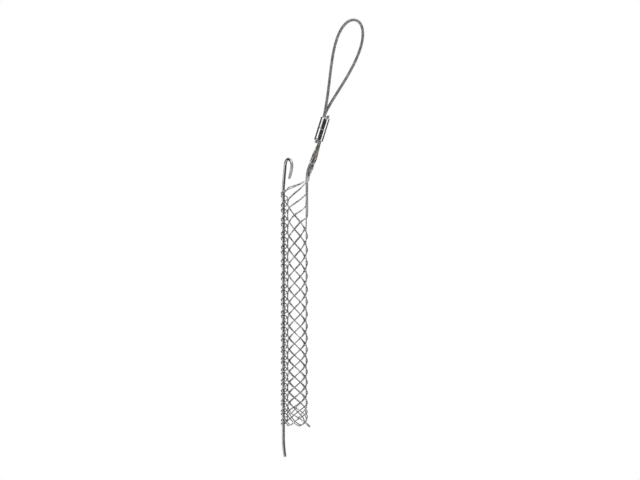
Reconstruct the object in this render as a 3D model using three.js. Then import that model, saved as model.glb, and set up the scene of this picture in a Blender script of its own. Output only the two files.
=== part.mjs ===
// A split wire-mesh pulling grip for lines of about 19 mm, closed along one side by a laced rod.
// Twelve strand legs leave a crimped sleeve, run down the spine of the mesh and weave round the bore.
// A wire-rope eye is crimped in the same sleeve. Lengths are in millimetres, +Z is up, and the mesh
// is seen from the front when looking along +Y, with the rod on the left and the spine on the right.
import * as THREE from "three";

// Mesh
const boreDia = 19; // line that the closed mesh just touches
const strandDia = 1.2; // seven-wire galvanised strand
const strandGap = 0.3; // air between two strands where they cross
const pitchTop = 15.9; // height of a diamond at the mouth
const pitchEnd = 10.1; // height of a diamond at the tail
const pitchCount = 19; // diamonds from the first edge loop to the last
const diamondsRound = 6; // diamonds round the bore
const edgeStagger = 0.1; // rows by which the back edge's loops sit below the front edge's
const scallopDrop = 3.8; // tail scallops below the last crossings
const tailSkew = 0.9; // columns by which the last rows are pulled towards the spine
const tailRows = 4; // rows over which that pull grows
const pigtailLength = 4.6; // twisted strand ends beside the spine at the tail

// Spine and bundle
const peelRise = 13.5; // first strands leave the spine this far above the first edge loop
const peelStep = 13; // drop from one leg's peeling point to the next
const topSag = 0.7; // the top legs fall away from the spine at first: 1 would be an even slope
const spineGap = 0.3; // air between neighbouring strands in the spine
const packGap = 0.1; // air between neighbouring strands in the sleeve
const splay = 0.2; // how far the strands spread apart between spine and sleeve
const bundleTurn = Math.PI; // twist of the bundle between spine and sleeve
const strandStub = 2.1; // cut strand ends above the sleeve, next to the rope
const stubStep = 0.8; // each layer further from the rope is cut this much longer

// Closing rod
const rodDia = 3.2;
const loopGap = 0.25; // air between the rod and the tight side of an edge loop
const tipBend = 1.8; // sideways set of the rod's lower tip, towards the bore
const tipBendLength = 22;
const rodBelowMesh = 34; // from the tail scallops down to the rod's tip
const straightAboveMouth = 6; // the rod's straight ends this far above the first edge loop
const hookSet = 1.9; // from there to the hook the rod leans towards the bore by this much
const hookWidth = 14.6; // centre to centre across the hook
const hookAboveMouth = 36.6; // hook's crown above the first edge loop
const hookLegLength = 13.8;
const hookLean = 6; // the hook's leg leans back towards the rod by this much
const hookTurn = (60 * Math.PI) / 180; // hook's plane, turned to the front from the bore's side

// Sleeve and eye
const sleeveLength = 25.7;
const sleeveWall = 0.75;
const sleeveTilt = (17.3 * Math.PI) / 180; // top leaning away from the mesh
const sleeveReach = 23.3; // from the bore's axis to the middle of the sleeve's lower end
const sleeveRise = 56.8; // from the first edge loop to the sleeve's lower end
const rimRound = 0.7;
const swageDepth = 0.22; // shallow waists left by the crimping die
const ropeDia = 3.2;
const ropeStub = 3; // cut rope ends below the sleeve
const eyeLength = 110.6; // from the sleeve's top to the crown of the rope's centre line
const eyeHalfWidth = 13.6;

// Facets
const strandSides = 4;
const ropeSides = 8;
const rodSides = 10;
const sleeveSegments = 28;

// Worked out from the sizes above
const columns = 2 * diamondsRound; // half diamonds from the front edge round to the back edge
const spineColumn = columns / 2;
const legsPerSide = diamondsRound;
const lastRow = 2 * pitchCount;
const weaveLift = (strandDia + strandGap) / 2;
const innerRadius = (boreDia + strandDia) / 2;
const meshRadius = innerRadius + weaveLift;
const loopRadius = (rodDia + tipBend + strandDia) / 2 + loopGap;
const seamGap = 0.1; // between an edge loop's circle and the strands that hug the bore
const loopX = -(innerRadius + loopRadius + seamGap);
const rodX = loopX - tipBend / 2;
const gapAngle = Math.acos((innerRadius + loopRadius) / -loopX);
const stepAngle = (Math.PI - gapAngle) / (spineColumn - 1);
const tangentAngle = Math.PI - Math.acos((meshRadius - loopRadius) / -loopX);
const loopRise = 0.6; // rows that an edge loop takes on each side of its middle
const firstRise = 0.15; // the front edge's first loop starts only this far above its middle

// Height of a row. Row 0 is the first edge loop; two rows are one diamond, and diamonds shorten
// steadily towards the tail.
function rowHeight(row) {
  const drop = (r) => (pitchTop * r) / 2 - ((pitchTop - pitchEnd) * r * r) / (8 * pitchCount);
  return scallopDrop + drop(lastRow) - drop(row);
}

const mouthHeight = rowHeight(0);
const staggered = (column, row) => row + edgeStagger * (column / columns - 0.5);
const heightAt = (column, row) => rowHeight(staggered(column, row));

// A point of the mesh's surface. Column 0 is the front edge at the rod, the middle column is the
// spine, and the last column is the back edge. Past the tangent point the surface runs straight
// from the bore to the rod.
function sheetPoint(column, height, lift) {
  const angle = (spineColumn - column) * stepAngle;
  const front = angle < 0 ? -1 : 1;
  const bent = Math.min(Math.abs(angle), tangentAngle);
  const straight = meshRadius * (Math.abs(angle) - bent);
  const radius = meshRadius + lift;
  return new THREE.Vector3(
    radius * Math.cos(bent) - straight * Math.sin(bent),
    -front * (radius * Math.sin(bent) + straight * Math.cos(bent)),
    height,
  );
}

// The last rows are pulled round towards the spine, less so near the two edges.
function pulled(column, row) {
  const growth = Math.max(0, (row - lastRow + tailRows) / tailRows);
  const hold = Math.min(1, column / 2, (columns - column) / tailRows);
  return column + tailSkew * growth * hold;
}

// A crossing in the weave. A strand running to the front edge is on top at odd columns, and one
// running to the back edge at even columns.
function crossing(column, row, heading) {
  const onTop = (column % 2 === 1) === (heading < 0);
  const lift = onTop ? weaveLift : -weaveLift;
  return sheetPoint(pulled(column, row), heightAt(column, row), lift);
}

// Rows above its middle at which an edge loop starts.
const entryRise = (front, row) => (front && row === 0 ? firstRise : loopRise);

// A strand's loop round the rod: it passes the rod's outer side and comes back between the rod and
// the bore. Loops of the back edge run the same way round, entering where the front ones leave.
function edgeLoop(column, row) {
  const front = column === 0;
  const above = entryRise(front, row);
  const steps = 4;
  const points = [];
  for (let i = 0; i <= steps; i++) {
    const share = front ? i / steps : 1 - i / steps;
    const angle = tangentAngle + share * (2 * Math.PI - gapAngle - tangentAngle);
    const height = heightAt(column, row + THREE.MathUtils.lerp(-above, loopRise, i / steps));
    points.push(
      new THREE.Vector3(
        loopX + loopRadius * Math.cos(angle),
        (front ? -1 : 1) * loopRadius * Math.sin(angle),
        height,
      ),
    );
  }
  return points;
}

// Sleeve axes: along it, and across it away from the mesh.
const along = new THREE.Vector3(Math.sin(sleeveTilt), 0, Math.cos(sleeveTilt));
const across = new THREE.Vector3(Math.cos(sleeveTilt), 0, -Math.sin(sleeveTilt));
const sleeveFoot = new THREE.Vector3(sleeveReach, 0, mouthHeight + sleeveRise);
const inSleeve = (a, l, d) =>
  sleeveFoot.clone().addScaledVector(along, a).addScaledVector(across, l).add(new THREE.Vector3(0, d, 0));

// Packing in the sleeve: two rope legs on the mesh's side of the split line, the strands beyond it.
const packSplit = -0.35; // split line, off the sleeve's axis
const ropeAcross = packSplit - packGap / 2 - ropeDia / 2;
const ropeDepth = ropeDia / 2 + packGap;
const packPitch = strandDia + packGap;
const spinePitch = strandDia + spineGap;
const layers = Math.max(2, 2 + Math.ceil((legsPerSide - 4) / 2));
const packMiddle = packSplit + packGap / 2 + strandDia / 2 + (packPitch * (layers - 1)) / 2;
const strandCorner = Math.hypot(packMiddle + (packPitch * (layers - 1)) / 2, 1.5 * packPitch) + strandDia / 2;
const ropeCorner = Math.hypot(ropeAcross, ropeDepth) + ropeDia / 2;
const sleeveBore = Math.max(strandCorner, ropeCorner) + packGap;
const sleeveRadius = sleeveBore + sleeveWall;

// A leg's place in the bundle, counted from the bundle's middle: layers lie outwards from the bore,
// and files run from the spine's middle to its front or back. The last leg to peel is innermost.
function bundlePlace(side, index) {
  const fromLast = legsPerSide - 1 - index;
  const outer = fromLast >= 4;
  const file = outer ? (fromLast - 4) % 2 : Math.floor(fromLast / 2);
  const layer = outer ? 2 + Math.floor((fromLast - 4) / 2) : fromLast % 2;
  return { layer: layer - (layers - 1) / 2, file: -side * (file + 0.5) };
}

// The bundle's middle from the spine (0) to just below the sleeve (1), and its spacing and turn.
const spineMiddle = innerRadius + packGap + (spinePitch * (layers - 1)) / 2;
const spineTop = mouthHeight + peelRise + 4;
const bundleEnd = inSleeve(-ropeStub - 1, packMiddle, 0);
const bundlePath = new THREE.CubicBezierCurve3(
  new THREE.Vector3(spineMiddle, 0, spineTop),
  new THREE.Vector3(spineMiddle, 0, spineTop + sleeveRise / 20),
  bundleEnd.clone().addScaledVector(along, -sleeveRise / 5),
  bundleEnd,
);

function bundlePoint(place, t) {
  const middle = bundlePath.getPoint(t);
  const tangent = bundlePath.getTangent(t);
  const outward = new THREE.Vector3(tangent.z, 0, -tangent.x);
  const spread = splay * Math.sin(Math.PI * t * t) ** 2;
  const pitch = THREE.MathUtils.lerp(spinePitch, packPitch, t) + spread;
  const turn = bundleTurn * THREE.MathUtils.smoothstep(t, 0, 1);
  const l = pitch * (place.layer * Math.cos(turn) - place.file * Math.sin(turn));
  const d = pitch * (place.layer * Math.sin(turn) + place.file * Math.cos(turn));
  return middle.addScaledVector(outward, l).add(new THREE.Vector3(0, d, 0));
}

// Height at which a leg peels off the spine.
function peelHeight(index) {
  const first = mouthHeight + peelRise;
  return index === 0 ? first + 2.5 : first - peelStep * (index - 1);
}

// From the cut end above the sleeve, through the bundle and down the spine, to the first crossing.
function leadIn(side, index) {
  const place = bundlePlace(side, index);
  const turned = { layer: -place.layer, file: -place.file };
  const placed = (a) => inSleeve(a, packMiddle + packPitch * turned.layer, packPitch * turned.file);
  const stub = strandStub + stubStep * (turned.layer + (layers - 1) / 2);
  const points = [placed(sleeveLength + stub), placed(sleeveLength), placed(sleeveLength / 2), placed(0)];
  for (const t of [1, 0.8, 0.6, 0.4, 0.2, 0.07, 0]) points.push(bundlePoint(place, t));

  const peel = peelHeight(index);
  const spineX = spineMiddle + spinePitch * place.layer;
  const spineY = spinePitch * place.file;
  const bendHeight = 7;
  const runs = Math.floor((spineTop - peel - 2 * bendHeight) / pitchTop);
  for (let i = 1; i <= runs; i++) {
    const height = THREE.MathUtils.lerp(spineTop, peel + 2 * bendHeight, i / runs);
    points.push(new THREE.Vector3(spineX, spineY, height));
  }
  if (spineTop > peel + 2 * bendHeight) points.push(new THREE.Vector3(spineX, spineY, peel + bendHeight));

  // Free run over the bore from the spine to the leg's first crossing or, for the first two legs,
  // to their first edge loop.
  const target = Math.max(index, 1 - loopRise / 2);
  const targetRow = index < 2 ? 2 * index - entryRise(side > 0, 2 * index) : index;
  const startColumn = spineColumn - 0.45;
  const edgeColumn = side > 0 ? 0 : columns;
  const endHeight = heightAt(side > 0 ? target : columns - target, targetRow);
  points.push(sheetPoint(edgeColumn + side * startColumn, peel, spineX - meshRadius));
  for (let column = spineColumn - 1; column > Math.max(index, 1); column--) {
    const share = ((startColumn - column) / (startColumn - target)) ** (index === 0 ? topSag : 1);
    const height = THREE.MathUtils.lerp(peel, endHeight, share);
    points.push(sheetPoint(edgeColumn + side * column, height, 0));
  }
  return points;
}

// One strand leg, woven from its lead-in down to the last row. It ends in the scallop whose column
// it reports.
function weaveLeg(side, index) {
  const points = leadIn(side, index);
  let heading = -side;
  let column = side > 0 ? index : columns - index;
  let row = index;
  while (row <= lastRow) {
    const atEdge = column === 0 || column === columns;
    if (atEdge) {
      points.push(...edgeLoop(column, row));
      heading = -heading;
    } else if (column !== 1 && column !== columns - 1) {
      points.push(crossing(column, row, heading));
    }
    column += heading;
    row += 1;
  }
  return { points, scallop: column, heading };
}

// Lowest point of the scallop between two legs.
function scallopPoint(column) {
  const shifted = column + tailSkew * Math.min(1, (columns - column) / tailRows);
  return sheetPoint(shifted, heightAt(column, lastRow) - scallopDrop, 0);
}

// A leg's end in the twisted pigtail, which pokes out and down from the mesh.
function pigtail(column, phase) {
  const root = scallopPoint(column);
  root.z += scallopDrop / 2;
  const out = new THREE.Vector3(root.x, root.y, 0).normalize();
  const axis = new THREE.Vector3(out.x, out.y, -1).normalize();
  const side = new THREE.Vector3(-out.y, out.x, 0);
  const normal = new THREE.Vector3().crossVectors(axis, side);
  const steps = 4;
  const points = [];
  for (let i = 0; i <= steps; i++) {
    const turn = phase + (i / steps) * 1.5 * Math.PI;
    points.push(
      root
        .clone()
        .addScaledVector(axis, (pigtailLength * i) / steps)
        .addScaledVector(side, weaveLift * Math.cos(turn))
        .addScaledVector(normal, weaveLift * Math.sin(turn)),
    );
  }
  return points;
}

// A path through given points, sampled exactly at them, for sweeping a section along it.
class SampledPath extends THREE.Curve {
  constructor(samples) {
    super();
    this.samples = samples;
  }
  indexAt(u) {
    return Math.round(u * (this.samples.length - 1));
  }
  getPoint(u) {
    return this.samples[this.indexAt(u)].clone();
  }
  getPointAt(u) {
    return this.getPoint(u);
  }
  getTangentAt(u) {
    const i = this.indexAt(u);
    const before = this.samples[Math.max(0, i - 1)];
    const after = this.samples[Math.min(this.samples.length - 1, i + 1)];
    return after.clone().sub(before).normalize();
  }
  getSpacedPoints(divisions) {
    return this.getPoints(divisions);
  }
}

// A smooth curve through control points, cut into a few even steps between each two.
function smoothSamples(points, perSpan) {
  const curve = new THREE.CatmullRomCurve3(points, false, "centripetal");
  return curve.getPoints((points.length - 1) * perSpan);
}

function roundBar(samples, diameter, sides) {
  const corners = [];
  for (let i = 0; i < sides; i++) {
    const angle = (2 * Math.PI * i) / sides;
    corners.push(new THREE.Vector2((Math.cos(angle) * diameter) / 2, (Math.sin(angle) * diameter) / 2));
  }
  return new THREE.ExtrudeGeometry(new THREE.Shape(corners), {
    steps: samples.length - 1,
    extrudePath: new SampledPath(samples),
    bevelEnabled: false,
  });
}

// Materials
const galvanised = new THREE.MeshStandardMaterial({ color: 0xb9bcbd, metalness: 0.9, roughness: 0.42 });
const ropeSteel = new THREE.MeshStandardMaterial({ color: 0xa9acad, metalness: 0.9, roughness: 0.46 });
const brightSteel = new THREE.MeshStandardMaterial({ color: 0xc9cccd, metalness: 1, roughness: 0.25 });
const polished = new THREE.MeshStandardMaterial({ color: 0xd6d9da, metalness: 1, roughness: 0.18 });

const grip = new THREE.Group();

function addPiece(name, geometry, material) {
  const mesh = new THREE.Mesh(geometry, material);
  mesh.name = name;
  grip.add(mesh);
  return mesh;
}

// Strands: two legs that meet in a scallop are one hairpin. The pair beside the spine has cut ends
// instead, twisted together in the pigtail.
function addStrands() {
  const pigtailColumn = spineColumn - 1;
  const scallops = new Map();
  for (const side of [1, -1]) {
    for (let index = 0; index < legsPerSide; index++) {
      const leg = weaveLeg(side, index);
      scallops.set(leg.scallop, [...(scallops.get(leg.scallop) ?? []), leg]);
    }
  }
  let count = 0;
  for (const column of [...scallops.keys()].sort((a, b) => a - b)) {
    const [down, up] = scallops.get(column);
    if (column === pigtailColumn) {
      [down, up].forEach((leg, i) => {
        const ending = pigtail(column, leg.heading > 0 ? Math.PI : 0);
        const samples = smoothSamples([...leg.points, ...ending], 2);
        addPiece(`tail_strand_${i + 1}`, roundBar(samples, strandDia, strandSides), galvanised);
      });
      continue;
    }
    count += 1;
    const points = [...down.points, scallopPoint(column), ...up.points.toReversed()];
    const samples = smoothSamples(points, 2);
    addPiece(`hairpin_strand_${count}`, roundBar(samples, strandDia, strandSides), galvanised);
  }
}

// Closing rod: tip set sideways below, straight through the loops, and hooked over at the top.
function closingRod() {
  const crown = mouthHeight + hookAboveMouth;
  const arcRadius = hookWidth / 2;
  const arcHeight = crown - arcRadius;
  const samples = [];
  const bendSteps = 5;
  for (let i = 0; i <= bendSteps; i++) {
    const share = i / bendSteps;
    const height = -rodBelowMesh + tipBendLength * share;
    samples.push(new THREE.Vector3(rodX + tipBend * (1 - share) ** 2, 0, height));
  }
  samples.push(new THREE.Vector3(rodX, 0, mouthHeight + straightAboveMouth));
  const hookX = rodX + hookSet;
  const inHook = (reach, height) =>
    new THREE.Vector3(hookX + reach * Math.cos(hookTurn), -reach * Math.sin(hookTurn), height);
  const arcSteps = 12;
  for (let i = 0; i <= arcSteps; i++) {
    const angle = Math.PI * (1 - i / arcSteps);
    samples.push(inHook(arcRadius * (1 + Math.cos(angle)), arcHeight + arcRadius * Math.sin(angle)));
  }
  samples.push(inHook(hookWidth - hookLean / 3, arcHeight - hookLegLength / 2));
  samples.push(inHook(hookWidth - hookLean, arcHeight - hookLegLength));
  return roundBar(samples, rodDia, rodSides);
}

// Sleeve: a crimped tube with rounded rims and two shallow waists either side of a ridge.
function crimpSleeve() {
  const outer = [];
  const waistSteps = 5;
  for (let i = 0; i <= 2 * waistSteps; i++) {
    const share = i / (2 * waistSteps);
    const height = rimRound + share * (sleeveLength - 2 * rimRound);
    const waist = Math.sin(2 * Math.PI * share) ** 2;
    outer.push(new THREE.Vector2(sleeveRadius - swageDepth * waist, height));
  }
  const rim = (sign, base) =>
    [0.3, 0.65, 1].map(
      (turn) =>
        new THREE.Vector2(
          sleeveRadius - rimRound * (1 - Math.cos((turn * Math.PI) / 2)),
          base + sign * rimRound * Math.sin((turn * Math.PI) / 2),
        ),
    );
  const lowerRim = rim(-1, rimRound).toReversed();
  const upperRim = rim(1, sleeveLength - rimRound);
  const profile = [
    new THREE.Vector2(sleeveBore, 0),
    ...lowerRim,
    ...outer,
    ...upperRim,
    new THREE.Vector2(sleeveBore, sleeveLength),
    new THREE.Vector2(sleeveBore, 0),
  ];
  return new THREE.LatheGeometry(profile, sleeveSegments);
}

// Eye rope: both legs side by side in depth in the sleeve, then a teardrop along the sleeve's axis.
function eyeRope() {
  const points = [];
  const teardropPeak = (3 * Math.sqrt(3)) / 8; // largest value of sin(t) times sin(t / 2) squared
  const stations = 30;
  const settle = eyeLength / 3; // the legs come onto the sleeve's axis over this length
  points.push(inSleeve(-ropeStub, ropeAcross, -ropeDepth), inSleeve(sleeveLength / 2, ropeAcross, -ropeDepth));
  for (let i = 0; i <= stations; i++) {
    const t = (2 * Math.PI * i) / stations;
    const out = eyeLength * Math.sin(t / 2) ** 2;
    const width = (eyeHalfWidth * Math.sin(t) * Math.sin(t / 2) ** 2) / teardropPeak;
    const shift = ropeAcross * Math.exp(-((out / settle) ** 2));
    points.push(inSleeve(sleeveLength + out, shift - width, -ropeDepth * Math.cos(t / 2)));
  }
  points.push(inSleeve(sleeveLength / 2, ropeAcross, ropeDepth), inSleeve(-ropeStub, ropeAcross, ropeDepth));
  return roundBar(smoothSamples(points, 2), ropeDia, ropeSides);
}

addStrands();
addPiece("closing_rod", closingRod(), brightSteel);
addPiece("eye_rope", eyeRope(), ropeSteel);
const sleeve = addPiece("crimp_sleeve", crimpSleeve(), polished);
sleeve.position.copy(sleeveFoot);
sleeve.rotation.order = "YXZ";
sleeve.rotation.set(Math.PI / 2, sleeveTilt, 0);

// The part's origin is where a pulling line bears in the crown of the eye.
const bearing = inSleeve(sleeveLength + eyeLength - ropeDia / 2, 0, 0);
grip.position.copy(bearing.negate());
const part = new THREE.Group();
part.add(grip);

export default part;
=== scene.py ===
"""Looks for a split wire-mesh pulling grip, closed along one side by a hooked rod.

Each strand, the rope and the rod are swept along the middle of the CAD bar that they stand for.
Everything is in metres, and +Z is up along the bore.
"""

import itertools
from math import cos, pi, radians, sin

import bmesh
import bpy
from mathutils import Matrix, Vector
from mathutils.geometry import interpolate_bezier


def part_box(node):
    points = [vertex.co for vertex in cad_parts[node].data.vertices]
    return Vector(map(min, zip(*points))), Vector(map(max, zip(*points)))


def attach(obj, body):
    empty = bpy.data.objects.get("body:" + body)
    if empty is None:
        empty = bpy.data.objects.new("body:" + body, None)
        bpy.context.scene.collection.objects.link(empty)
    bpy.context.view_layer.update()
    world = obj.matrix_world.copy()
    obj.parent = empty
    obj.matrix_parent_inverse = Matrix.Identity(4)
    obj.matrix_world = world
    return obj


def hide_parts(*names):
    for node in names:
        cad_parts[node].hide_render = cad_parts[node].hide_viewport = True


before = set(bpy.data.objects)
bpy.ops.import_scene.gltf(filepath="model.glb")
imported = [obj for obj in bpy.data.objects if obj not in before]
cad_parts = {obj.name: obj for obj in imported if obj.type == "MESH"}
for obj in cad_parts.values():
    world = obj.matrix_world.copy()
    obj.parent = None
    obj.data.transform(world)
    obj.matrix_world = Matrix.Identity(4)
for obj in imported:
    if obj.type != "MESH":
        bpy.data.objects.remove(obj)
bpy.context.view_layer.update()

MM = 0.001

# Sides of the CAD bars, and the rings near a bar's tip that its end ring is picked from
STRAND_SIDES = 4
ROPE_SIDES = 8
ROD_SIDES = 10
TIP_RINGS = 5

# Vertices nearer than this are one, in the CAD and in the swept pieces
CAD_WELD = 0.002 * MM
WELD = 0.001 * MM

# Edges stay sharp above these angles, in degrees
BAR_CREASE = 62
SLEEVE_CREASE = 50

# Wire and rope
STRAND_RADIUS = 0.6 * MM
STRAND_LAY = 11 * MM
STRAND_STEP = 0.9 * MM
ROPE_RADIUS = 1.6 * MM
ROPE_LAY = 21 * MM
ROPE_STEP = 0.8 * MM
OUTER_WIRES = 6
WIRE_CORNERS = (-80, -30, 30, 80)  # degrees round each outer wire, from its outermost point
ROPE_FILL = 1.04  # a little over full size, so that the rope's strands press together

# Closing rod
ROD_RADIUS = 1.6 * MM
ROD_STEP = 1.2 * MM
ROD_FACETS = 32
BEND_EASE = 4 * MM
HOOK_TAPER = 7 * MM
HOOK_END = 0.62  # share of the rod's radius that is left at the hook's end
TIP_CHAMFER = 0.5 * MM
TIP_END = 0.8  # share of the radius that is left at the tip

# Crimped sleeve
SLEEVE_LENGTH = 25.7 * MM
SLEEVE_WALL = 0.75 * MM
SLEEVE_TILT = radians(17.3)
SLEEVE_RIM = 0.7 * MM
SWAGE_DEPTH = 0.22 * MM
SHOULDER = 0.08  # share of half the sleeve over which a waist falls to its depth
SLEEVE_RINGS = 96
ROUND_STEPS = 96

# Heights at which the dull wires turn to ones with a painted highlight, and at which the warm tint
# above starts and stops
PAINTED_HIGHLIGHT_FROM, PAINTED_HIGHLIGHT_FULL = -0.180, -0.168
TINT_FOOT, TINT_FOOT_FULL = -0.150, -0.145
TINT_TOP_FULL, TINT_TOP = -0.139, -0.134
# Distances across the bundle at which the warm tint starts and is full
TINT_EDGE, TINT_EDGE_FULL = 0.1 * MM, 1.2 * MM
WARM_TINT = (0.7, 0.58, 0.46)

# The photograph's frame: the width that it spans at the bore, and its middle
VIEW_WIDTH = 0.6912
VIEW_MIDDLE = Vector((-0.0383, 0, -0.2359))
CAMERA_DISTANCE = 3.0
FLOOR_HEIGHT = -0.62
FLOOR_RADIUS = 1.3

# Dark cards round the object: the angles of both ends, the reach, the height of the middle and
# half the card's height
CARDS = {
    "front_flag": ((-36, 57), 2.0, 0.0, 1.3),
    "left_flag": ((-166, -82), 1.4, 0.0, 1.3),
    "right_flag": ((88, 166), 1.4, 0.0, 1.3),
    "high_left_flag": ((-140, -40), 1.7, 1.35, 0.75),
}

# A further card stands across the bore, behind the near strands
BORE_MIDDLE = Vector((-0.0634, 0, -0.308))
BORE_CARD_REACH = Vector((0, 8 * MM, 0))
BORE_CARD_HALF_HEIGHT = 0.163

# Plain colours of the studio
WHITE = (1, 1, 1, 1)
SOFT_LIGHT = (0.6, 0.6, 0.6, 1)
PALE_PAPER = (0.93, 0.93, 0.93, 1)
DARK_CLOTH = (0.06, 0.06, 0.06, 1)


def add_camera():
    data = bpy.data.cameras.new("camera")
    data.sensor_width = 36
    data.lens = data.sensor_width * CAMERA_DISTANCE / VIEW_WIDTH
    data.clip_end = 20
    camera = bpy.data.objects.new("camera", data)
    camera.location = VIEW_MIDDLE - Vector((0, CAMERA_DISTANCE, 0))
    camera.rotation_euler = (pi / 2, 0, 0)
    bpy.context.scene.collection.objects.link(camera)
    bpy.context.scene.camera = camera


# Paths


def rings_from(first):
    """Rings of vertices, each one edge further from the first."""
    ring, seen = set(first), set(first)
    while ring:
        yield ring
        ring = {edge.other_vert(v) for v in ring for edge in v.link_edges} - seen
        seen |= ring


def middle(vertices):
    return sum((v.co for v in vertices), Vector()) / len(vertices)


def centre_line(node, sides):
    """The middle of each ring of a CAD bar, from one cut end to the other."""
    bar = bmesh.new()
    bar.from_mesh(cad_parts[node].data)
    bmesh.ops.remove_doubles(bar, verts=bar.verts, dist=CAD_WELD)
    *_, last = rings_from([next(iter(bar.verts))])
    tip = next(iter(last))
    near = set().union(*itertools.islice(rings_from([tip]), TIP_RINGS))
    inwards = middle(near) - tip.co
    end = sorted(near, key=lambda v: (v.co - tip.co).dot(inwards))[:sides]
    line = [middle(ring) for ring in rings_from(end)]
    bar.free()
    if line[0].z > line[-1].z:
        line.reverse()
    return line


def smooth_path(stations, step):
    """A smooth path through the stations, in steps of about the given length."""
    first = 2 * stations[0] - stations[1]
    last = 2 * stations[-1] - stations[-2]
    padded = [first, *stations, last]
    path = [stations[0].copy()]
    for before, start, end, after in zip(padded, padded[1:], padded[2:], padded[3:]):
        spans = ((before, start), (start, end), (end, after))
        a, b, c = ((q - p).length ** 0.5 for p, q in spans)
        at_start = (2 * a * a + 3 * a * b + b * b) * start
        at_end = (2 * c * c + 3 * c * b + b * b) * end
        leave = (a * a * end - b * b * before + at_start) / (3 * a * (a + b))
        reach = (c * c * start - b * b * after + at_end) / (3 * c * (c + b))
        count = max(1, round(b * b / step))
        path += interpolate_bezier(start, leave, reach, end, count + 1)[1:]
    return path


def distances(path):
    """How far along the path each of its points lies."""
    spans = ((q - p).length for p, q in zip(path, path[1:]))
    return list(itertools.accumulate(spans, initial=0))


def helices(path, count, radius, lay):
    """Paths that wind round a path at a radius, one turn in each lay."""
    wound = [[] for _ in range(count)]
    side = (path[1] - path[0]).orthogonal()
    for i, (at, along) in enumerate(zip(path, distances(path))):
        before, after = path[max(i - 1, 0)], path[min(i + 1, len(path) - 1)]
        tangent = (after - before).normalized()
        side = (side - side.dot(tangent) * tangent).normalized()
        across = tangent.cross(side)
        for k, line in enumerate(wound):
            turn = 2 * pi * (along / lay + k / count)
            line.append(at + radius * (cos(turn) * side + sin(turn) * across))
    return wound


# Sweeps


def section(name, corners):
    """A closed flat curve that bars are swept from."""
    data = bpy.data.curves.new(name, "CURVE")
    data.dimensions = "2D"
    spline = data.splines.new("POLY")
    spline.use_cyclic_u = True
    spline.points.add(len(corners) - 1)
    for point, (x, y) in zip(spline.points, corners):
        point.co = (x, y, 0, 1)
    curve = bpy.data.objects.new(name, data)
    bpy.context.scene.collection.objects.link(curve)
    return curve


def wire_bundle_section(name, radius):
    """Outline of six wires laid round a seventh."""
    wire = radius / 3
    corners = []
    for k in range(OUTER_WIRES):
        heart = 2 * pi * k / OUTER_WIRES
        for turn in WIRE_CORNERS:
            angle = heart + radians(turn)
            x = 2 * wire * cos(heart) + wire * cos(angle)
            y = 2 * wire * sin(heart) + wire * sin(angle)
            corners.append((x, y))
    return section(name, corners)


def round_section(name, radius, sides):
    turns = [2 * pi * k / sides for k in range(sides)]
    return section(name, [(radius * cos(t), radius * sin(t)) for t in turns])


def swept(name, outline, paths, lay=None, thickness=None):
    """A mesh swept along each path, with the outline turned once in each lay."""
    data = bpy.data.curves.new(name, "CURVE")
    data.dimensions = "3D"
    data.twist_mode = "MINIMUM"
    data.bevel_mode = "OBJECT"
    data.bevel_object = outline
    data.use_fill_caps = True
    for path in paths:
        spline = data.splines.new("POLY")
        spline.points.add(len(path) - 1)
        for point, at, along in zip(spline.points, path, distances(path)):
            point.co = (*at, 1)
            point.tilt = 2 * pi * along / lay if lay else 0
            point.radius = thickness(along) if thickness else 1
    curve = bpy.data.objects.new(name + "_path", data)
    bpy.context.scene.collection.objects.link(curve)
    view = bpy.context.evaluated_depsgraph_get()
    mesh = bpy.data.meshes.new_from_object(curve.evaluated_get(view))
    bpy.data.objects.remove(curve)
    mesh.name = name
    piece = bpy.data.objects.new(name, mesh)
    bpy.context.scene.collection.objects.link(piece)
    smooth(piece, BAR_CREASE)
    return piece


def smooth(piece, sharp_from):
    """Smooth shading, with edges left sharp above an angle in degrees."""
    shape = bmesh.new()
    shape.from_mesh(piece.data)
    bmesh.ops.remove_doubles(shape, verts=shape.verts, dist=WELD)
    bmesh.ops.recalc_face_normals(shape, faces=shape.faces)
    shape.to_mesh(piece.data)
    shape.free()
    piece.data.shade_smooth()
    piece.data.set_sharp_from_angle(angle=radians(sharp_from))


# Finishes


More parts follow.
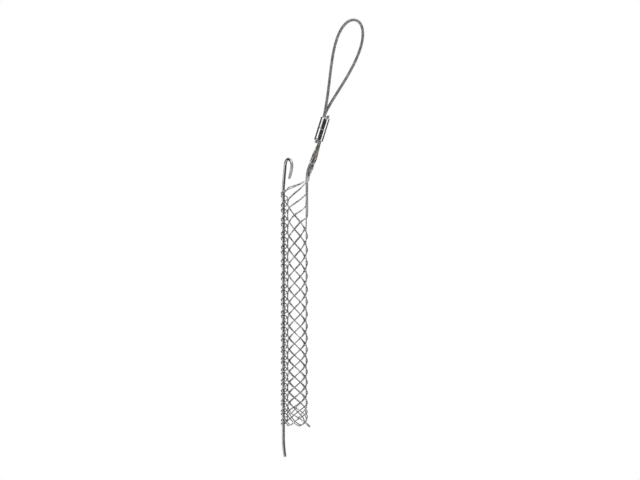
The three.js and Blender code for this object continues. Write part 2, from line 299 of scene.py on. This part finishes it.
class Finish:
    """A metal built up from nodes that read Object coordinates."""

    def __init__(self, name):
        self.material = bpy.data.materials.new(name)
        self.material.use_nodes = True
        self.tree = self.material.node_tree
        self.metal = self.tree.nodes["Principled BSDF"]
        self.metal.inputs["Metallic"].default_value = 1
        self.place = self.tree.nodes.new("ShaderNodeTexCoord").outputs["Object"]

    def node(self, kind, **values):
        made = self.tree.nodes.new(kind)
        for key, value in values.items():
            setattr(made, key, value)
        return made

    def link(self, source, target):
        self.tree.links.new(source, target)

    def stretched(self, scale, turn=(0, 0, 0)):
        mapping = self.node("ShaderNodeMapping")
        mapping.inputs["Scale"].default_value = scale
        mapping.inputs["Rotation"].default_value = turn
        self.link(self.place, mapping.inputs["Vector"])
        return mapping.outputs["Vector"]

    def noise(self, scale, detail=3, at=None):
        made = self.node("ShaderNodeTexNoise")
        made.inputs["Scale"].default_value = scale
        made.inputs["Detail"].default_value = detail
        self.link(at or self.place, made.inputs["Vector"])
        return made.outputs["Fac"]

    def ramp(self, value, stops):
        made = self.node("ShaderNodeValToRGB")
        elements = made.color_ramp.elements
        elements[0].position, elements[0].color = stops[0][0], (*stops[0][1], 1)
        elements[1].position, elements[1].color = stops[-1][0], (*stops[-1][1], 1)
        for position, colour in stops[1:-1]:
            elements.new(position).color = (*colour, 1)
        self.link(value, made.inputs["Fac"])
        return made.outputs["Color"]

    def mixed(self, share, first, second):
        made = self.node("ShaderNodeMix", data_type="RGBA")
        self.link(share, made.inputs["Factor"])
        for socket, value in ((made.inputs[6], first), (made.inputs[7], second)):
            if isinstance(value, tuple):
                socket.default_value = (*value, 1)
            else:
                self.link(value, socket)
        return made.outputs[2]

    def between(self, value, low, high, low_to=0.0, high_to=1.0):
        made = self.node("ShaderNodeMapRange", interpolation_type="SMOOTHSTEP")
        limits = {"From Min": low, "From Max": high, "To Min": low_to, "To Max": high_to}
        for socket, number in limits.items():
            made.inputs[socket].default_value = number
        self.link(value, made.inputs["Value"])
        return made.outputs["Result"]

    def coordinate(self, axis, at=None):
        """One of the place's coordinates: X, Y or Z."""
        made = self.node("ShaderNodeSeparateXYZ")
        self.link(at or self.place, made.inputs[0])
        return made.outputs[axis]

    def times(self, first, second):
        made = self.node("ShaderNodeMath", operation="MULTIPLY")
        self.link(first, made.inputs[0])
        self.link(second, made.inputs[1])
        return made.outputs[0]

    def colour(self, value):
        self.link(value, self.metal.inputs["Base Color"])

    def rough(self, value):
        self.link(value, self.metal.inputs["Roughness"])

    def bump(self, value, depth):
        made = self.node("ShaderNodeBump")
        made.inputs["Strength"].default_value = 1
        made.inputs["Distance"].default_value = depth
        self.link(value, made.inputs["Height"])
        self.link(made.outputs["Normal"], self.metal.inputs["Normal"])


def galvanised_strand():
    """Zinc on fine wires: dull in the mesh; from the bundle up, lighter greys are a painted
    highlight; a warm tan tint on one side.
    """
    zinc = Finish("galvanised_strand")
    streaks = zinc.noise(1, at=zinc.stretched((640, 640, 70)))
    dull = [(0.34, (0.16, 0.17, 0.17)), (0.5, (0.36, 0.37, 0.37)), (0.64, (0.7, 0.71, 0.71))]
    # The second set of greys is a painted highlight: lighter wires with near-white glints, used
    # from the bundle up.
    painted_highlight_greys = [(0.4, (0.3, 0.31, 0.31)), (0.5, (0.66, 0.67, 0.67)), (0.6, (0.94, 0.95, 0.95))]
    height = zinc.coordinate("Z")
    painted_highlight_share = zinc.between(height, PAINTED_HIGHLIGHT_FROM, PAINTED_HIGHLIGHT_FULL)
    wires = zinc.mixed(painted_highlight_share, zinc.ramp(streaks, dull), zinc.ramp(streaks, painted_highlight_greys))

    # A warm tan tint on the right side of the bundle, between two heights, in random patches.
    above = zinc.between(height, TINT_FOOT, TINT_FOOT_FULL)
    below = zinc.between(height, TINT_TOP, TINT_TOP_FULL)
    along_bundle = zinc.stretched((1, 1, 1), (0, -SLEEVE_TILT, 0))
    right_side = zinc.between(zinc.coordinate("X", along_bundle), TINT_EDGE, TINT_EDGE_FULL)
    patchy = zinc.between(zinc.noise(520), 0.4, 0.56)
    warm_tint = zinc.times(zinc.times(above, below), zinc.times(right_side, patchy))
    zinc.colour(zinc.mixed(warm_tint, wires, WARM_TINT))
    zinc.rough(zinc.between(zinc.noise(700), 0.3, 0.7, low_to=0.26, high_to=0.44))
    zinc.bump(zinc.noise(5200, detail=2), depth=0.01 * MM)
    return zinc.material


def rope_wire():
    """Zinc wires of the eye, a little darker where grease has stayed."""
    zinc = Finish("wire_rope")
    greys = [(0.32, (0.28, 0.29, 0.29)), (0.5, (0.41, 0.42, 0.42)), (0.7, (0.57, 0.58, 0.58))]
    zinc.colour(zinc.ramp(zinc.noise(190), greys))
    zinc.rough(zinc.between(zinc.noise(900), 0.3, 0.7, low_to=0.3, high_to=0.48))
    zinc.bump(zinc.noise(6000, detail=2), depth=0.01 * MM)
    return zinc.material


def drawn_rod():
    """Bright steel with fine draw lines along it."""
    steel = Finish("bright_rod")
    lines = steel.noise(1, detail=4, at=steel.stretched((2600, 2600, 30)))
    greys = [(0.3, (0.38, 0.39, 0.39)), (0.7, (0.52, 0.53, 0.53))]
    steel.colour(steel.ramp(lines, greys))
    steel.rough(steel.between(steel.noise(160), 0.3, 0.7, low_to=0.16, high_to=0.27))
    steel.bump(lines, depth=0.012 * MM)
    return steel.material


def polished_sleeve():
    """Plated steel with fine turning lines and scuff marks from the crimping die."""
    plate = Finish("polished_sleeve")
    along_sleeve = (0, -SLEEVE_TILT, 0)
    lines = plate.noise(1, at=plate.stretched((60, 60, 3800), along_sleeve))
    rubs = plate.noise(240, detail=4)
    greys = [(0.35, (0.52, 0.53, 0.53)), (0.65, (0.66, 0.67, 0.67))]
    plate.colour(plate.ramp(rubs, greys))
    plate.rough(plate.between(rubs, 0.35, 0.75, low_to=0.11, high_to=0.25))
    plate.bump(lines, depth=0.006 * MM)
    return plate.material


# Pieces


def dress(piece, material, body, slot, *nodes):
    """The piece's material, the body it rides on, and the CAD nodes that it stands for; the slot
    argument is not used.
    """
    piece.data.materials.clear()
    piece.data.materials.append(material)
    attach(piece, body)
    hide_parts(*nodes)


def add_strands(material):
    outline = wire_bundle_section("strand_section", STRAND_RADIUS)
    for node in sorted(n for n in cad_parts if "strand" in n):
        path = smooth_path(centre_line(node, STRAND_SIDES), STRAND_STEP)
        piece = swept("wires_of_" + node, outline, [path], lay=STRAND_LAY)
        dress(piece, material, "grip", "galvanised_strand", node)
    bpy.data.objects.remove(outline)


def add_eye_rope(material):
    """Six strands laid round a core, each of seven wires laid the other way."""
    strand = ROPE_RADIUS / 3
    outline = wire_bundle_section("rope_strand_section", ROPE_FILL * strand)
    core = smooth_path(centre_line("eye_rope", ROPE_SIDES), ROPE_STEP)
    paths = [core, *helices(core, OUTER_WIRES, 2 * strand, ROPE_LAY)]
    piece = swept("laid_eye_rope", outline, paths, lay=-ROPE_LAY / 2)
    dress(piece, material, "grip", "wire_rope", "eye_rope")
    bpy.data.objects.remove(outline)


def add_closing_rod(material):
    """The rod's straight gets a station near each end, so that neither bend bows it."""
    stations = centre_line("closing_rod", ROD_SIDES)
    gaps = [(q - p).length for p, q in zip(stations, stations[1:])]
    bend_top = gaps.index(max(gaps)) + 1
    ease = Vector((0, 0, BEND_EASE))
    straight = [stations[bend_top - 1] + ease, stations[bend_top] - ease]
    path = smooth_path([*stations[:bend_top], *straight, *stations[bend_top:]], ROD_STEP)
    length = distances(path)[-1]

    def thickness(along):
        end = length - along
        if along < TIP_CHAMFER:
            return TIP_END + (1 - TIP_END) * along / TIP_CHAMFER
        if end > HOOK_TAPER:
            return 1
        return HOOK_END + (1 - HOOK_END) * (end / HOOK_TAPER) ** 0.6

    outline = round_section("rod_section", ROD_RADIUS, ROD_FACETS)
    piece = swept("drawn_closing_rod", outline, [path], thickness=thickness)
    dress(piece, material, "rod", "bright_rod", "closing_rod")
    bpy.data.objects.remove(outline)


def eased(share):
    """A smooth step from 0 to 1."""
    share = min(1, max(0, share))
    return share * share * (3 - 2 * share)


def add_sleeve(material):
    """The sleeve's profile spun round its axis, with two waists either side of a ridge."""
    low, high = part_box("crimp_sleeve")
    radius = (high.y - low.y) / 2
    bore = radius - SLEEVE_WALL
    turns = [radians(turn) for turn in range(0, 91, 15)]
    rim = [(radius - SLEEVE_RIM * (1 - sin(t)), SLEEVE_RIM * (1 - cos(t))) for t in turns]
    barrel = []
    for i in range(1, SLEEVE_RINGS):
        share = i / SLEEVE_RINGS
        from_ridge = abs(2 * share - 1)
        waist = eased(from_ridge / SHOULDER) * eased((1 - from_ridge) / SHOULDER)
        height = SLEEVE_RIM + share * (SLEEVE_LENGTH - 2 * SLEEVE_RIM)
        barrel.append((radius - SWAGE_DEPTH * waist, height))
    upper_rim = [(x, SLEEVE_LENGTH - height) for x, height in reversed(rim)]
    profile = [(bore, 0), *rim, *barrel, *upper_rim, (bore, SLEEVE_LENGTH)]

    shape = bmesh.new()
    points = [shape.verts.new((x, 0, z - SLEEVE_LENGTH / 2)) for x, z in profile]
    edges = [shape.edges.new((p, q)) for p, q in zip(points, points[1:] + points[:1])]
    bmesh.ops.spin(
        shape,
        geom=points + edges,
        axis=(0, 0, 1),
        cent=(0, 0, 0),
        angle=2 * pi,
        steps=ROUND_STEPS,
        use_merge=True,
    )
    place = Matrix.Translation((low + high) / 2) @ Matrix.Rotation(SLEEVE_TILT, 4, "Y")
    bmesh.ops.transform(shape, matrix=place, verts=shape.verts)
    mesh = bpy.data.meshes.new("swaged_sleeve")
    shape.to_mesh(mesh)
    shape.free()
    piece = bpy.data.objects.new("swaged_sleeve", mesh)
    bpy.context.scene.collection.objects.link(piece)
    smooth(piece, SLEEVE_CREASE)
    dress(piece, material, "grip", "polished_sleeve", "crimp_sleeve")


# Studio


def camera_sees(tree):
    """1 for rays from the camera, a mirror-like surface or glass, and 0 for the rest."""
    path = tree.nodes.new("ShaderNodeLightPath")
    total = path.outputs["Is Camera Ray"]
    for name in ("Is Glossy Ray", "Is Transmission Ray"):
        either = tree.nodes.new("ShaderNodeMath")
        either.operation = "MAXIMUM"
        tree.links.new(total, either.inputs[0])
        tree.links.new(path.outputs[name], either.inputs[1])
        total = either.outputs[0]
    return total


def add_world():
    world = bpy.data.worlds.new("studio")
    world.use_nodes = True
    tree = world.node_tree
    background = tree.nodes["Background"]
    mix = tree.nodes.new("ShaderNodeMix")
    mix.data_type = "RGBA"
    mix.inputs[6].default_value = SOFT_LIGHT
    mix.inputs[7].default_value = WHITE
    tree.links.new(camera_sees(tree), mix.inputs["Factor"])
    tree.links.new(mix.outputs[2], background.inputs["Color"])
    background.inputs["Strength"].default_value = 1
    bpy.context.scene.world = world


def from_object(angle, reach, height=0.0):
    """A point round the bore, with the angle counted from the camera's side towards +X."""
    turn = radians(angle)
    return VIEW_MIDDLE + Vector((reach * sin(turn), -reach * cos(turn), height))


def add_softbox(name, angle, reach, height, size, power):
    data = bpy.data.lights.new(name, "AREA")
    data.shape = "RECTANGLE"
    data.size, data.size_y = size
    data.energy = power
    lamp = bpy.data.objects.new(name, data)
    lamp.location = from_object(angle, reach, height)
    lamp.rotation_euler = (VIEW_MIDDLE - lamp.location).to_track_quat("-Z", "Y").to_euler()
    bpy.context.scene.collection.objects.link(lamp)


def add_flag(name, foot, head, half_height):
    """A dark card that metal shows as a dark edge. The camera doesn't see it."""
    rise = Vector((0, 0, half_height))
    shape = bmesh.new()
    corners = [shape.verts.new(p) for p in (foot - rise, head - rise, head + rise, foot + rise)]
    bmesh.ops.contextual_create(shape, geom=corners)
    mesh = bpy.data.meshes.new(name)
    shape.to_mesh(mesh)
    shape.free()
    card = bpy.data.objects.new(name, mesh)
    bpy.context.scene.collection.objects.link(card)
    cloth = bpy.data.materials.new(name)
    cloth.use_nodes = True
    surface = cloth.node_tree.nodes["Principled BSDF"]
    surface.inputs["Base Color"].default_value = DARK_CLOTH
    surface.inputs["Roughness"].default_value = 1
    mesh.materials.append(cloth)
    card.visible_camera = False
    card.visible_diffuse = False
    card.visible_shadow = False


def add_flags():
    for name, (ends, reach, height, half_height) in CARDS.items():
        foot, head = (from_object(angle, reach, height) for angle in ends)
        add_flag(name, foot, head, half_height)
    foot, head = BORE_MIDDLE - BORE_CARD_REACH, BORE_MIDDLE + BORE_CARD_REACH
    add_flag("bore_flag", foot, head, BORE_CARD_HALF_HEIGHT)


def add_floor():
    shape = bmesh.new()
    bmesh.ops.create_circle(shape, cap_ends=True, segments=ROUND_STEPS, radius=FLOOR_RADIUS)
    bmesh.ops.translate(shape, vec=(VIEW_MIDDLE.x, 0, FLOOR_HEIGHT), verts=shape.verts)
    mesh = bpy.data.meshes.new("floor")
    shape.to_mesh(mesh)
    shape.free()
    floor = bpy.data.objects.new("floor", mesh)
    bpy.context.scene.collection.objects.link(floor)
    pale = bpy.data.materials.new("pale_floor")
    pale.use_nodes = True
    paper = pale.node_tree.nodes["Principled BSDF"]
    paper.inputs["Base Color"].default_value = PALE_PAPER
    paper.inputs["Roughness"].default_value = 0.9
    mesh.materials.append(pale)


add_camera()
add_strands(galvanised_strand())
add_eye_rope(rope_wire())
add_closing_rod(drawn_rod())
add_sleeve(polished_sleeve())
add_world()
add_softbox("left_softbox", angle=-62, reach=1.3, height=-0.05, size=(0.5, 1.2), power=3.6)
add_softbox("right_softbox", angle=72, reach=1.3, height=0.25, size=(0.4, 1.2), power=2.0)
add_softbox("top_softbox", angle=0, reach=0.5, height=1.2, size=(1.0, 0.8), power=5)
add_flags()
add_floor()
bpy.context.scene.view_settings.view_transform = "Standard"
